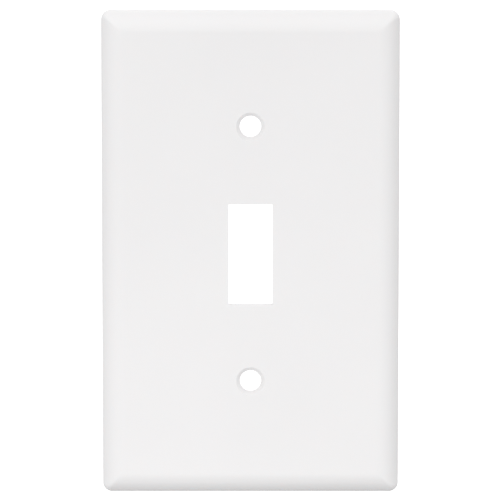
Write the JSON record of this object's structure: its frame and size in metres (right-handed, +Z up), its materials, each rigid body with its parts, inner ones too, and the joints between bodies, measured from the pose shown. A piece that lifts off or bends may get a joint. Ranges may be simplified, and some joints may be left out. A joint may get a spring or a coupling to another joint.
{
  "type": "toggle switch wall plate",
  "caption": "White standard-size wall plate for a toggle light switch, with a mitred rounded border, a toggle opening and countersunk screw holes.",
  "frame": {"origin": "centre of the plate's outline on the wall plane, which is the centre of the switch behind it", "axes": "+Z up as the plate hangs, +Y into the wall, so the front face looks towards -Y, and +X to the right seen from the front"},
  "size_m": [0.0698, 0.0056, 0.1142],
  "materials": {
    "white_plastic": "semi-gloss moulded thermoplastic"
  },
  "bodies": {
    "root": {"wall_plate": "white_plastic"}
  },
  "joints": []
}
